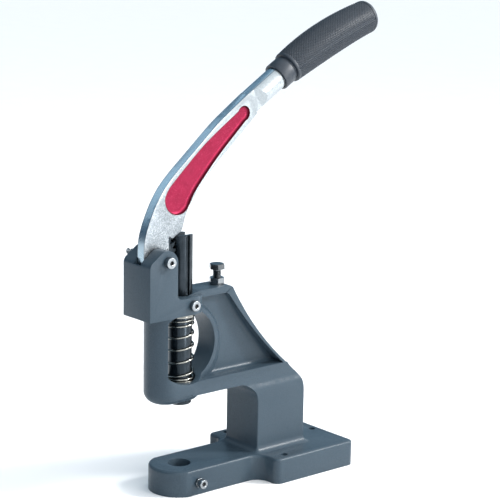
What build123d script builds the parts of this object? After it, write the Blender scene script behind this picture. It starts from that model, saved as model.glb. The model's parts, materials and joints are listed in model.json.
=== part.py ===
from build123d import *
import math
import os

# A bench hand press. Millimetres, +Z up, -Y towards the operator, +X to the operator's right.
# The origin is on the axis of the ram and of the anvil bore, at the underside of the base.

# Base
BASE_T = 24.5
TONGUE_HALF = 26.6
TONGUE_FRONT_R = 28.5
PLATE_HALF = 52.0
PLATE_FRONT = 76.5
PLATE_REAR = 176.0
PLATE_CORNER_R = 6.5
NECK_R = 13.0
FOOT_R = 7.0
ANVIL_BORE_R = 11.0
BENCH_HOLE_R = 3.5
BENCH_PCD = 98.0
BENCH_CENTRE_Y = 118.0

# Column and arm
COLUMN_HALF = 23.3
COLUMN_FRONT = 76.2
COLUMN_REAR = 135.0
SHOULDER_Z = 82.5
LEDGE_Z = 107.0
LEDGE_HALF = 20.2
ARM_BOTTOM_Z = 93.5
ARM_TOP_Z = 190.0
ARM_HALF = 12.0
WEB_HALF = 5.0
RIB_T = 3.2
POCKET_BLEND_R = 4.5
TOP_FLANGE_T = 6.5
REAR_SLOPE = ((52.6, 188.0), (81.3, 142.0), (119.2, 102.2))
THROAT_R = 20.0

# Head
HEAD_HALF = 19.9
HEAD_FRONT_R = 19.9
HEAD_FRONT_CENTRE_Y = -17.0
HEAD_BOTTOM_Z = 87.0
HEAD_EDGE_R = 11.0
SADDLE_Z = 187.0
WINDOW_CENTRE = (-3.5, 140.5)
WINDOW_R = 35.0
WINDOW_FRONT_Y = -27.0
WINDOW_FLOOR_Z = 105.5
WINDOW_TOP_Z = 171.0
RIM_R = 38.5
RIM_FOOT = (-2.5, 134.5)
RIM_FOOT_R = 47.0
SPOT_FACE_R = 14.5

# Clevis
CLEVIS_FRONT = -49.8
CLEVIS_BOTTOM_Z = 170.5
EAR_REAR = -18.4
EAR_FOOT_R = 5.0
SLOT_HALF = 5.8
SLOT_LIP_Z = 220.5

# Pivot
PIVOT_Y = -29.5
PIVOT_Z = 223.9
SHOULDER_R = 4.0
PIVOT_HEAD_R = 5.2
PIVOT_HEAD_H = 5.5
PIVOT_TIP_X = -40.0
M6_R = 3.0
RUNNING = 0.05

# Ram, rack and sector
RAM_R = 11.0
RAM_BOTTOM = 83.4
RAM_TOP = 242.9
MODULE = 2.0
SECTOR_TEETH = 21
PITCH_R = MODULE * SECTOR_TEETH / 2
ADDENDUM = 1.6
DEDENDUM = 2.2
BACKLASH = 0.30
PRESSURE = math.radians(20)
RACK_PITCH_Y = PIVOT_Y + PITCH_R
RAM_FLAT_Y = RACK_PITCH_Y - ADDENDUM
RACK_BOTTOM = 205.0
RACK_HALF = 5.8
RAM_SLOT_HALF = 5.6
PUNCH_THREAD_R = 4.25
PUNCH_DEPTH = 20.0
GUIDE_Z = 179.7
KEYWAY_FLOOR_X = 8.4
KEYWAY_HALF = 2.05
KEYWAY_END_Z = 172.0

# Lever
LEVER_HALF = 5.0
HUB_R = 16.0
SHOULDER_Y = 11.7
TENON_FRONT = 7.2
TENON_HALF = 2.0
RIVET_Y = PIVOT_Y + 9.6
RIVET_R = 1.5
BUSH_R = 6.0
SHANK_R = 11.0
SHANK_START = (78.0, 356.5)
GRIP_START = (111.3, 377.3)
GRIP_END = (227.0, 429.0)
GRIP_BEND = 8.0
GRIP_BORE_SHARE = 0.96
RECESS_DEPTH = 3.2

# Spring
SPRING_R = 12.2
WIRE_R = 1.0
SPRING_BOTTOM = WINDOW_FLOOR_Z + 1.0
SPRING_TOP = 166.0
SPRING_TURNS = 5.3
RING_Z = 168.0
RING_T = 1.6
RING_R = 13.4
RING_GROOVE = 1.2

# Anvil clamp screw
CLAMP_Y = 2.5
CLAMP_Z = 12.0
CLAMP_R = 2.5

# Stop bolt
STOP_Y = 43.0
STOP_HEAD_TOP = 209.5
STOP_END_Z = 172.0


def disc(x0, x1, y, z, radius):
    """A cylinder along X from x0 to x1, centred on (y, z)."""
    axis = Plane(origin=(x0, y, z), x_dir=(0, 1, 0), z_dir=(1, 0, 0))
    return extrude(axis * Circle(radius), x1 - x0)


def post(z0, z1, x, y, radius):
    """A cylinder along Z from z0 to z1, centred on (x, y)."""
    return extrude(Plane.XY.offset(z0) * Pos(x, y) * Circle(radius), z1 - z0)


def slab(x0, x1, outline):
    """A prism between x0 and x1 whose section is a closed outline of (y, z) edges."""
    face = make_face(outline)
    side = Plane(origin=(x0, 0, 0), x_dir=(0, 1, 0), z_dir=(1, 0, 0))
    return extrude(side * face, x1 - x0)


def block(x0, x1, y0, y1, z0, z1):
    """A box between two corners."""
    centre = ((x0 + x1) / 2, (y0 + y1) / 2, (z0 + z1) / 2)
    return Pos(*centre) * Box(x1 - x0, y1 - y0, z1 - z0)


def hexagon(across_flats):
    return RegularPolygon(across_flats / 2, 6, major_radius=False)


def hex_prism_z(z0, z1, x, y, across_flats):
    return extrude(Plane.XY.offset(z0) * Pos(x, y) * hexagon(across_flats), z1 - z0)


def hex_prism_x(x0, x1, y, z, across_flats):
    axis = Plane(origin=(x0, y, z), x_dir=(0, 1, 0), z_dir=(1, 0, 0))
    return extrude(axis * hexagon(across_flats), x1 - x0)


# Frame casting

def base_solid():
    """T-shaped base: a round-nosed tongue under the ram, and a wide plate behind it."""
    tongue = Rectangle(2 * TONGUE_HALF, PLATE_FRONT + 20, align=(Align.CENTER, Align.MIN))
    nose = Circle(TONGUE_FRONT_R) & Pos(0, -TONGUE_FRONT_R) * Rectangle(2 * TONGUE_HALF, 2 * TONGUE_FRONT_R)
    plate = Pos(0, (PLATE_FRONT + PLATE_REAR) / 2) * Rectangle(2 * PLATE_HALF, PLATE_REAR - PLATE_FRONT)
    outline = plate + tongue
    inner = outline.vertices().filter_by(lambda v: abs(abs(v.X) - TONGUE_HALF) < 0.1 and v.Y > 10)
    outline = fillet(inner, NECK_R)
    outer = outline.vertices().filter_by(lambda v: abs(abs(v.X) - PLATE_HALF) < 0.1)
    outline = fillet(outer, PLATE_CORNER_R)
    solid = extrude(outline + nose, BASE_T)
    return fillet(solid.edges().filter_by(lambda e: e.center().Z > BASE_T - 0.1), 2.5)


def lower_body():
    """Column and lower flange of the arm: it tapers towards the head and has a hollow below the ledge."""
    slope_top = REAR_SLOPE[2]
    slope_end = (COLUMN_REAR - 8.6, 95.4)
    corner_end = (COLUMN_REAR, 76.0)
    throat_start = (COLUMN_FRONT - THROAT_R, ARM_BOTTOM_Z)
    throat_end = (COLUMN_FRONT, ARM_BOTTOM_Z - THROAT_R)
    line = Line((0, ARM_BOTTOM_Z), throat_start)
    line += RadiusArc(throat_start, throat_end, THROAT_R)
    line += Line(throat_end, (COLUMN_FRONT, 2))
    line += Line((COLUMN_FRONT, 2), (COLUMN_REAR, 2))
    line += Line((COLUMN_REAR, 2), corner_end)
    line += ThreePointArc(corner_end, (COLUMN_REAR - 2.2, 86.6), slope_end)
    line += Line(slope_end, slope_top)
    line += Line(slope_top, (slope_top[0] - 4.4, LEDGE_Z))
    line += Line((slope_top[0] - 4.4, LEDGE_Z), (0, LEDGE_Z))
    line += Line((0, LEDGE_Z), (0, ARM_BOTTOM_Z))
    body = slab(-COLUMN_HALF, COLUMN_HALF, line)
    upright = body.edges().filter_by(Axis.Z).filter_by(lambda e: e.length > 60)
    body = fillet(upright, 1.2)
    for side in (-1, 1):
        body -= hollow(side)
        taper = Polyline(
            (side * HEAD_HALF, -1),
            (side * COLUMN_HALF, COLUMN_FRONT),
            (side * 40, COLUMN_FRONT),
            (side * 40, -1),
            close=True,
        )
        body -= extrude(Plane.XY.offset(60) * make_face(taper), 60)
    return body


def hollow(side):
    """What is cut off one side below the ledge, so that a round shoulder and then a hollow remain."""
    profile = Spline(
        (side * COLUMN_HALF, SHOULDER_Z),
        (side * (COLUMN_HALF - 1.0), SHOULDER_Z + 5.6),
        (side * (LEDGE_HALF + 0.1), SHOULDER_Z + 9.6),
        (side * (LEDGE_HALF - 0.9), SHOULDER_Z + 15.0),
        (side * LEDGE_HALF, LEDGE_Z),
        tangents=((0, 1), (side * 0.25, 0.97)),
    )
    outside = Polyline(
        (side * LEDGE_HALF, LEDGE_Z),
        (side * LEDGE_HALF, LEDGE_Z + 10),
        (side * 40, LEDGE_Z + 10),
        (side * 40, SHOULDER_Z),
        (side * COLUMN_HALF, SHOULDER_Z),
    )
    return extrude(Plane.XZ.offset(-200) * make_face(profile + outside), 260)


def arm_outline():
    """Side outline of the arm between the head and the top of the column."""
    slope_start, slope_middle, slope_end = REAR_SLOPE
    crown = (49.0, ARM_TOP_Z)
    line = Line((0, ARM_BOTTOM_Z), (0, SADDLE_Z))
    line += Line((0, SADDLE_Z), (14, ARM_TOP_Z))
    line += Line((14, ARM_TOP_Z), crown)
    line += Line(crown, slope_start)
    line += ThreePointArc(slope_start, slope_middle, slope_end)
    line += Line(slope_end, (slope_end[0], ARM_BOTTOM_Z))
    line += Line((slope_end[0], ARM_BOTTOM_Z), (0, ARM_BOTTOM_Z))
    return line


def inner_slope(thickness):
    """The rear slope moved inwards."""
    moved = []
    for (y, z), steep in zip(REAR_SLOPE, (0.87, 0.80, 0.70)):
        flat = math.sqrt(1 - steep**2)
        moved.append((y - thickness * steep, z - thickness * flat))
    return moved


def rear_rib():
    """Rib along the rear slope, wider at its foot than at its top; the pockets cut it thinner."""
    inner = inner_slope(3 * RIB_T)
    line = ThreePointArc(*REAR_SLOPE)
    line += Line(REAR_SLOPE[2], inner[2])
    line += ThreePointArc(inner[2], inner[1], inner[0])
    line += Line(inner[0], REAR_SLOPE[0])
    rib = slab(-LEDGE_HALF, LEDGE_HALF, line)
    for side in (-1, 1):
        beside = Polyline(
            (side * ARM_HALF, ARM_TOP_Z),
            (side * LEDGE_HALF, LEDGE_Z),
            (side * 40, LEDGE_Z),
            (side * 40, ARM_TOP_Z),
            close=True,
        )
        rib -= extrude(Plane.XZ.offset(-200) * make_face(beside), 260)
        rib -= hollow(side)
    return rib


def pocket_room(x0, x1):
    """Space between the top flange, the ledge and the rear rib, without the window's rim."""
    inner = inner_slope(RIB_T)
    top = ARM_TOP_Z - TOP_FLANGE_T
    rear_top = (inner[0][0] - 3.0, top)
    line = Line((0, LEDGE_Z), (0, top))
    line += Line((0, top), rear_top)
    line += ThreePointArc(rear_top, inner[1], (inner[2][0] - 6.8, LEDGE_Z))
    line += Line((inner[2][0] - 6.8, LEDGE_Z), (0, LEDGE_Z))
    room = slab(x0, x1, line)
    top_corner = room.edges().filter_by(Axis.X).sort_by_distance(Vector(x0, *rear_top))[0]
    return fillet(top_corner, 6.0)


def pocket(sign):
    """Pocket on one side, with a round blend at the web's edges and a sloping wall at the window."""
    x0, x1 = sorted((sign * WEB_HALF, sign * 30))
    room = pocket_room(x0, x1)
    web_x = sign * WEB_HALF
    floor_edges = room.edges().filter_by(lambda e: abs(e.center().X - web_x) < 0.1 and e.center().Y > 1)
    room = fillet(floor_edges, POCKET_BLEND_R)
    wide = Plane(origin=(sign * (WEB_HALF - 0.5), *RIM_FOOT), x_dir=(0, 1, 0), z_dir=(sign, 0, 0))
    narrow = Plane(origin=(sign * (ARM_HALF + 0.5), *WINDOW_CENTRE), x_dir=(0, 1, 0), z_dir=(sign, 0, 0))
    rim = loft([wide * Circle(RIM_FOOT_R), narrow * Circle(RIM_R)])
    return room - rim


def arm():
    """Webbed arm with its rear rib and the two pockets."""
    body = slab(-ARM_HALF, ARM_HALF, arm_outline()) + rear_rib()
    for sign in (-1, 1):
        body -= pocket(sign)
    return body


def head_solid():
    """Head round the ram: round front, square sides, and a round back that meets the arm."""
    plan = Pos(0, HEAD_FRONT_CENTRE_Y) * Circle(HEAD_FRONT_R)
    plan += Pos(0, HEAD_FRONT_CENTRE_Y / 2) * Rectangle(2 * HEAD_HALF, -HEAD_FRONT_CENTRE_Y)
    plan += Circle(HEAD_HALF)
    head = extrude(Plane.XY.offset(HEAD_BOTTOM_Z) * plan, SADDLE_Z - HEAD_BOTTOM_Z)
    return fillet(head.edges().filter_by(lambda e: e.center().Z < HEAD_BOTTOM_Z + 0.1), HEAD_EDGE_R)


def clevis_outline():
    """Side outline of the block that carries the two ears."""
    arc_top = (PIVOT_Y - 6.0, PIVOT_Z + 9.6)
    inner = (EAR_REAR, SADDLE_Z + EAR_FOOT_R)
    outer = (EAR_REAR + EAR_FOOT_R, SADDLE_Z)
    bend = EAR_FOOT_R * (1 - math.sqrt(0.5))
    line = ThreePointArc(outer, (EAR_REAR + bend, SADDLE_Z + bend), inner)
    line += Line(inner, (EAR_REAR, PIVOT_Z))
    line += ThreePointArc((EAR_REAR, PIVOT_Z), (PIVOT_Y + 4.6, PIVOT_Z + 8.9), arc_top)
    line += Line(arc_top, (CLEVIS_FRONT + 3.4, PIVOT_Z + 1.8))
    line += ThreePointArc(
        (CLEVIS_FRONT + 3.4, PIVOT_Z + 1.8),
        (CLEVIS_FRONT + 0.9, PIVOT_Z - 0.9),
        (CLEVIS_FRONT, PIVOT_Z - 4.5),
    )
    line += Line((CLEVIS_FRONT, PIVOT_Z - 4.5), (CLEVIS_FRONT, CLEVIS_BOTTOM_Z))
    line += Line((CLEVIS_FRONT, CLEVIS_BOTTOM_Z), (-10, CLEVIS_BOTTOM_Z))
    line += Line((-10, CLEVIS_BOTTOM_Z), (-10, SADDLE_Z - 6))
    line += Line((-10, SADDLE_Z - 6), (outer[0], SADDLE_Z - 6))
    line += Line((outer[0], SADDLE_Z - 6), outer)
    return line


def window_outline():
    """The window is a circle cut flat at its floor, its top and its front."""
    circle = Pos(*WINDOW_CENTRE) * Circle(WINDOW_R)
    width = 80.0
    box = Pos(WINDOW_FRONT_Y + width / 2, (WINDOW_FLOOR_Z + WINDOW_TOP_Z) / 2) * Rectangle(
        width, WINDOW_TOP_Z - WINDOW_FLOOR_Z
    )
    return circle & box


def frame_casting():
    frame = base_solid() + lower_body()
    foot = frame.edges().filter_by(
        lambda e: abs(e.center().Z - BASE_T) < 0.1 and abs(e.center().X) < COLUMN_HALF + 0.2
        and COLUMN_FRONT + 5 < e.center().Y < COLUMN_REAR + 0.2
    )
    frame = fillet(foot, FOOT_R)
    frame += arm()
    frame += head_solid()
    frame += slab(-HEAD_HALF, HEAD_HALF, clevis_outline())
    side = Plane(origin=(-40, 0, 0), x_dir=(0, 1, 0), z_dir=(1, 0, 0))
    frame -= extrude(side * window_outline(), 80)
    frame -= post(WINDOW_FLOOR_Z, WINDOW_TOP_Z, 0, 0, SPOT_FACE_R)
    frame -= post(HEAD_BOTTOM_Z - 1, ARM_TOP_Z + 1, 0, 0, RAM_R + RUNNING)
    frame -= post(-1, BASE_T + 1, 0, 0, ANVIL_BORE_R)
    for k in range(3):
        angle = math.radians(90 + 120 * k)
        x = BENCH_PCD / 2 * math.cos(angle)
        y = BENCH_CENTRE_Y + BENCH_PCD / 2 * math.sin(angle)
        frame -= post(-1, BASE_T + 1, x, y, BENCH_HOLE_R)
    frame -= clevis_slot()
    frame -= disc(-30, 30, PIVOT_Y, PIVOT_Z, SHOULDER_R)
    frame -= disc(KEYWAY_FLOOR_X, HEAD_HALF + 1, 0, GUIDE_Z, M6_R)
    frame -= post(STOP_END_Z - 2, ARM_TOP_Z + 1, 0, STOP_Y, 4.0)
    frame -= disc(ANVIL_BORE_R - 2, TONGUE_HALF + 1, CLAMP_Y, CLAMP_Z, CLAMP_R)
    return frame


def clevis_slot():
    """Slot between the ears, with a round floor that clears the hub and the sector."""
    hub_room = disc(-SLOT_HALF, SLOT_HALF, PIVOT_Y, PIVOT_Z, HUB_R + 1.5)
    tooth_room = disc(-SLOT_HALF, SLOT_HALF, PIVOT_Y, PIVOT_Z, PITCH_R + ADDENDUM + 1.4)
    tooth_room &= block(-30, 30, PIVOT_Y - 8, 0, 150, 300)
    mouth = block(-SLOT_HALF, SLOT_HALF, CLEVIS_FRONT - 5, EAR_REAR + 5, SLOT_LIP_Z, 260)
    return hub_room + tooth_room + mouth


# Ram, rack and the pieces on it

def rack_cut():
    """All the gaps of the rack, as one cutter that reaches in from the ram's front flat."""
    pitch = math.pi * MODULE
    half_pitch_width = pitch / 4 + BACKLASH / 4
    spread = math.tan(PRESSURE)
    tip = half_pitch_width + (ADDENDUM + 2) * spread
    root = half_pitch_width - DEDENDUM * spread
    count_down = int((PIVOT_Z - RACK_BOTTOM) / pitch)
    count_up = int((RAM_TOP - PIVOT_Z) / pitch)
    cutter = None
    for k in range(-count_down, count_up + 1):
        z = PIVOT_Z + k * pitch
        gap = Polyline(
            (RACK_PITCH_Y - ADDENDUM - 2, z - tip),
            (RACK_PITCH_Y - ADDENDUM - 2, z + tip),
            (RACK_PITCH_Y + DEDENDUM, z + root),
            (RACK_PITCH_Y + DEDENDUM, z - root),
            close=True,
        )
        tooth_gap = slab(-RACK_HALF, RACK_HALF, gap)
        cutter = tooth_gap if cutter is None else cutter + tooth_gap
    return cutter


def lever_room():
    """Slot across the ram's top; its floor follows the lowest path of the lever's underside."""
    return Polyline((-13.2, 243.6), (2.1, 233.5), (13, 234.2), (13, 250), (-13.2, 250), close=True)


def ram():
    bar = post(RAM_BOTTOM, RAM_TOP, 0, 0, RAM_R)
    bar = chamfer(bar.edges().filter_by(GeomType.CIRCLE), 0.8)
    bar -= block(-RAM_R, RAM_R, -RAM_R - 5, RAM_FLAT_Y, RACK_BOTTOM - 8, RAM_TOP + 1)
    bar -= rack_cut()
    bar -= slab(-RAM_SLOT_HALF, RAM_SLOT_HALF, lever_room())
    bar -= block(KEYWAY_FLOOR_X, RAM_R + 1, -KEYWAY_HALF, KEYWAY_HALF, KEYWAY_END_Z, RAM_TOP + 1)
    groove_end = RING_Z + RING_T
    bar -= post(RING_Z, groove_end, 0, 0, RAM_R + 2) - post(RING_Z, groove_end, 0, 0, RAM_R - RING_GROOVE)
    bar -= post(RAM_BOTTOM - 1, RAM_BOTTOM + PUNCH_DEPTH, 0, 0, PUNCH_THREAD_R)
    return bar


def snap_ring():
    """Open ring in the ram's groove; its gap faces the rear."""
    low, high = RING_Z + RUNNING, RING_Z + RING_T - RUNNING
    ring = post(low, high, 0, 0, RING_R) - post(low - 1, high + 1, 0, 0, RAM_R - RING_GROOVE + RUNNING)
    return ring - block(-4.0, 4.0, 0, 20, low - 1, high + 1)


def spring_washer():
    return post(SPRING_TOP + 0.3, RING_Z, 0, 0, 13.3) - post(SPRING_TOP, RING_Z + 1, 0, 0, RAM_R + 0.1)


def spring_seat():
    seat = post(WINDOW_FLOOR_Z, SPRING_BOTTOM - RUNNING, 0, 0, 13.6)
    return seat - post(WINDOW_FLOOR_Z - 1, SPRING_BOTTOM + 1, 0, 0, RAM_R + 0.3)


def return_spring():
    """Right-handed compression spring."""
    length = SPRING_TOP - SPRING_BOTTOM - 2 * WIRE_R
    path = Pos(0, 0, SPRING_BOTTOM + WIRE_R) * Helix(length / SPRING_TURNS, length, SPRING_R)
    section = Plane(origin=path @ 0, z_dir=path % 0) * Circle(WIRE_R)
    return sweep(section, path=path)


def ram_guide_screw():
    """Its plain point runs in the ram's keyway and keeps the ram from turning."""
    screw = disc(HEAD_HALF, HEAD_HALF + 4.6, 0, GUIDE_Z, 5.0)
    screw = fillet(screw.edges().filter_by(lambda e: e.center().X > HEAD_HALF + 4), 1.0)
    screw += disc(RAM_R, HEAD_HALF, 0, GUIDE_Z, M6_R)
    screw += disc(KEYWAY_FLOOR_X + 0.5, RAM_R, 0, GUIDE_Z, KEYWAY_HALF - RUNNING)
    return screw - hex_prism_x(HEAD_HALF + 2.2, HEAD_HALF + 6, 0, GUIDE_Z, 4.0)


# Lever and the pieces on it

def grip_axis():
    """Gentle arc along the handle, from the grip's lower end to its upper end."""
    start = Vector(0, *GRIP_START)
    end = Vector(0, *GRIP_END)
    chord = end - start
    sag = chord.length / 2 * math.tan(math.radians(GRIP_BEND) / 2)
    normal = Vector(0, -chord.Z, chord.Y).normalized()
    return ThreePointArc(start, (start + end) * 0.5 + normal * sag, end)


def lever_outline():
    """Side outline of the lever's blade, from the hub to the shank."""
    hub_front = (PIVOT_Y - HUB_R, PIVOT_Z)
    tip_front = (73.5, 365.5)
    tip_rear = (84.5, 347.0)
    shoulder = (PIVOT_Y + SHOULDER_Y, PIVOT_Z + 14.5)
    heel = (-3.1, 247.2)
    front = Spline(
        hub_front,
        (-44.6, 242.0),
        (-38.0, 262.0),
        (-24.0, 286.0),
        (0.0, 309.0),
        (30.0, 334.5),
        tip_front,
        tangents=((0, 1), (0.83, 0.56)),
    )
    rear = Spline(
        tip_rear,
        (60.0, 325.0),
        (26.0, 294.5),
        (7.2, 271.5),
        (0.5, 258.0),
        tangents=((-0.75, -0.66), (-0.25, -0.97)),
    )
    angle = math.acos(SHOULDER_Y / HUB_R)
    hub_rear = (PIVOT_Y + SHOULDER_Y, PIVOT_Z - HUB_R * math.sin(angle))
    line = front + Line(tip_front, tip_rear) + rear
    line += Line((0.5, 258.0), heel)
    line += Line(heel, shoulder)
    line += Line(shoulder, hub_rear)
    line += ThreePointArc(hub_rear, (PIVOT_Y, PIVOT_Z - HUB_R), hub_front)
    return line


def recess_outline():
    """Long recess in the blade, wide near the hub and narrow near the shank."""
    narrow_front = (62.0, 350.5)
    narrow_rear = (71.0, 341.0)
    wide_front = (-22.0, 279.5)
    wide_rear = (7.0, 272.0)
    front = Spline(
        wide_front,
        (-8.2, 296.5),
        (20.0, 321.5),
        narrow_front,
        tangents=((0.35, 0.94), (0.83, 0.56)),
    )
    rear = Spline(
        narrow_rear,
        (42.0, 314.0),
        (20.0, 290.5),
        wide_rear,
        tangents=((-0.72, -0.69), (-0.42, -0.91)),
    )
    line = front + ThreePointArc(narrow_front, (75.3, 351.0), narrow_rear) + rear
    return line + ThreePointArc(wide_rear, (-11.8, 262.4), wide_front)


def shank():
    """Round shank, flattened where it runs into the blade by a slanting cut on each side."""
    axis = grip_axis()
    straight = Line(Vector(0, *SHANK_START), axis @ 0)
    start = Plane(origin=straight @ 0, z_dir=straight % 0)
    rod = extrude(start * Circle(SHANK_R), straight.length)
    rod += tube_along(axis, 0, GRIP_BORE_SHARE, SHANK_R)
    rod += Pos(*(axis @ 0)) * Sphere(SHANK_R)
    for side in (-1, 1):
        cut = Polyline(
            (side * LEVER_HALF, -1),
            (side * LEVER_HALF, 8),
            (side * SHANK_R, 15),
            (side * (SHANK_R + 3), 15),
            (side * (SHANK_R + 3), -1),
            close=True,
        )
        along = Plane(origin=straight @ 0, x_dir=(1, 0, 0), z_dir=-(straight % 0).cross(Vector(1, 0, 0)))
        prism = extrude(along * make_face(cut), 15, both=True)
        rod -= prism
    return rod


def lever():
    body = slab(-LEVER_HALF, LEVER_HALF, lever_outline())
    body += shank()
    for side in (-1, 1):
        x0, x1 = sorted((side * (LEVER_HALF - RECESS_DEPTH), side * (LEVER_HALF + 1)))
        body -= slab(x0, x1, recess_outline())
    body -= disc(-10, 10, PIVOT_Y, PIVOT_Z, BUSH_R)
    body -= tenon()
    body -= sector_room()
    for z in rivet_heights():
        body -= disc(-10, 10, RIVET_Y, z, RIVET_R)
    return body


def sector_room():
    """Space behind the hub that the sector's teeth take up."""
    reach = PITCH_R + ADDENDUM + 0.8
    top = reach * math.sin(math.radians(61))
    teeth = disc(-LEVER_HALF - 1, LEVER_HALF + 1, PIVOT_Y, PIVOT_Z, reach)
    return teeth & block(-10, 10, PIVOT_Y + SHOULDER_Y, 0, PIVOT_Z - reach, PIVOT_Z + top)


def tenon():
    """Tongue of the sector that sits in a slot in the lever's hub."""
    return block(
        -TENON_HALF, TENON_HALF, PIVOT_Y + TENON_FRONT, PIVOT_Y + SHOULDER_Y, PIVOT_Z - 11, PIVOT_Z + 11
    )


def rivet_heights():
    return (PIVOT_Z - 8.0, PIVOT_Z + 8.0)


def involute(base_r, radius):
    """Polar angle swept by an involute of a base circle at a given radius."""
    roll = math.sqrt(max(radius**2 / base_r**2 - 1, 0))
    return roll - math.atan(roll)


def sector_gear():
    """Five involute teeth on a segment with a flat back."""
    base_r = PITCH_R * math.cos(PRESSURE)
    root_r = PITCH_R - DEDENDUM
    tip_r = PITCH_R + ADDENDUM
    step = 2 * math.pi / SECTOR_TEETH
    half_tooth = step / 4 - BACKLASH / 4 / PITCH_R
    at_pitch = involute(base_r, PITCH_R)

    def corner(radius, angle):
        return (PIVOT_Y + radius * math.cos(angle), PIVOT_Z + radius * math.sin(angle))

    def flank(middle, side, radii):
        return [
            corner(r, middle + side * (half_tooth + at_pitch - involute(base_r, max(r, base_r))))
            for r in radii
        ]

    radii = [root_r] + [base_r + (tip_r - base_r) * k / 4 for k in range(5)]
    low = PIVOT_Z - root_r * math.sin(math.radians(38))
    points = [(PIVOT_Y + SHOULDER_Y, PIVOT_Z + 14.5), (PIVOT_Y + SHOULDER_Y, low)]
    points.append(corner(root_r, -math.radians(38)))
    for k in range(-1, 4):
        points += flank(k * step, -1, radii)
        points += flank(k * step, 1, radii[::-1])
    outline = Polyline(*points, close=True)
    gear = slab(-LEVER_HALF, LEVER_HALF, outline)
    gear &= block(-10, 10, PIVOT_Y + SHOULDER_Y, 0, 150, 300)
    gear += tenon()
    for z in rivet_heights():
        gear -= disc(-10, 10, RIVET_Y, z, RIVET_R)
    return gear


def sector_pins():
    return [disc(-LEVER_HALF, LEVER_HALF, RIVET_Y, z, RIVET_R) for z in rivet_heights()]


def lever_bush():
    sleeve = disc(-LEVER_HALF, LEVER_HALF, PIVOT_Y, PIVOT_Z, BUSH_R)
    return sleeve - disc(-10, 10, PIVOT_Y, PIVOT_Z, SHOULDER_R + RUNNING)


def hub_washers():
    washers = []
    for side in (-1, 1):
        x0, x1 = sorted((side * (LEVER_HALF + 0.1), side * (SLOT_HALF - 0.1)))
        ring = disc(x0, x1, PIVOT_Y, PIVOT_Z, 9.0) - disc(-10, 10, PIVOT_Y, PIVOT_Z, SHOULDER_R + 0.1)
        washers.append(ring)
    return washers


def tube_along(axis, first, last, radius):
    """A round bar along a stretch of the handle's axis, given as shares of its length."""
    stretch = axis.trim(first, last)
    start = Plane(origin=stretch @ 0, z_dir=stretch % 0)
    return sweep(start * Circle(radius), path=stretch)


def handle_grip():
    """Rubber grip: smooth collar, groove, swelling body and a rounded end."""
    axis = grip_axis()
    collar_end, body_start = 0.105, 0.122
    body_sections = []
    for place, radius in ((body_start, 15.3), (0.35, 17.0), (0.65, 17.3), (1.0, 15.9)):
        plane = Plane(origin=axis @ place, x_dir=(1, 0, 0), z_dir=axis % place)
        body_sections.append(plane * Circle(radius))
    body = loft(body_sections)
    rims = body.edges().filter_by(lambda e: e.is_closed)
    body = fillet(rims.sort_by_distance(axis @ 1)[0], 3.5)
    collar = tube_along(axis, 0, collar_end, 13.5)
    groove = tube_along(axis, collar_end - 0.01, body_start + 0.02, 12.8)
    bore = tube_along(axis, 0, GRIP_BORE_SHARE, SHANK_R)
    return body + collar + groove - bore


# Pivot screw and its nut

def pivot_bolt():
    """Shoulder screw: the head on the right ear, the thread and its long tip on the left."""
    head = disc(HEAD_HALF, HEAD_HALF + PIVOT_HEAD_H, PIVOT_Y, PIVOT_Z, PIVOT_HEAD_R)
    head = fillet(head.edges().filter_by(lambda e: e.center().X > HEAD_HALF + 5), 0.7)
    shoulder = disc(-HEAD_HALF - 1.5, HEAD_HALF, PIVOT_Y, PIVOT_Z, SHOULDER_R)
    tip = disc(PIVOT_TIP_X, -HEAD_HALF - 1.5, PIVOT_Y, PIVOT_Z, M6_R)
    tip = chamfer(tip.edges().filter_by(lambda e: e.center().X < PIVOT_TIP_X + 0.1), 0.6)
    socket = hex_prism_x(HEAD_HALF + 2.2, HEAD_HALF + 8, PIVOT_Y, PIVOT_Z, 4.0)
    return head + shoulder + tip - socket


def pivot_washer():
    ring = disc(-HEAD_HALF - 3.1, -HEAD_HALF - 1.5, PIVOT_Y, PIVOT_Z, 6.0)
    return ring - disc(-50, 0, PIVOT_Y, PIVOT_Z, M6_R)


def pivot_nut():
    nut = hex_prism_x(-HEAD_HALF - 8.1, -HEAD_HALF - 3.1, PIVOT_Y, PIVOT_Z, 10.0)
    return nut - disc(-50, 0, PIVOT_Y, PIVOT_Z, M6_R)


# Stop bolt and anvil clamp screw

def stop_bolt():
    shaft = post(STOP_END_Z, STOP_HEAD_TOP - 5.3, 0, STOP_Y, 4.0)
    shaft = chamfer(shaft.edges().filter_by(lambda e: e.center().Z < STOP_END_Z + 0.1), 0.8)
    head = hex_prism_z(STOP_HEAD_TOP - 5.3, STOP_HEAD_TOP, 0, STOP_Y, 13.0)
    dome = Pos(0, STOP_Y, STOP_HEAD_TOP - 5.3) * Cone(
        9.4, 6.4, 6.0, align=(Align.CENTER, Align.CENTER, Align.MIN)
    )
    return shaft + (head & dome)


def stop_lock_nut():
    nut = hex_prism_z(ARM_TOP_Z, ARM_TOP_Z + 6.5, 0, STOP_Y, 13.0)
    return nut - post(180, 200, 0, STOP_Y, 4.0)


def anvil_clamp_screw():
    """Its flat point stops short of the anvil bore's wall."""
    head_x = TONGUE_HALF + 3.4
    shaft = disc(ANVIL_BORE_R + 0.6, head_x, CLAMP_Y, CLAMP_Z, CLAMP_R)
    head = disc(head_x, head_x + 5.0, CLAMP_Y, CLAMP_Z, 4.25)
    head = fillet(head.edges().filter_by(lambda e: e.center().X > head_x + 4.9), 0.5)
    return shaft + head - hex_prism_x(head_x + 2.0, head_x + 6, CLAMP_Y, CLAMP_Z, 4.0)


def anvil_clamp_nut():
    nut = hex_prism_x(TONGUE_HALF, TONGUE_HALF + 2.7, CLAMP_Y, CLAMP_Z, 8.0)
    return nut - disc(0, 40, CLAMP_Y, CLAMP_Z, CLAMP_R)


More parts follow.
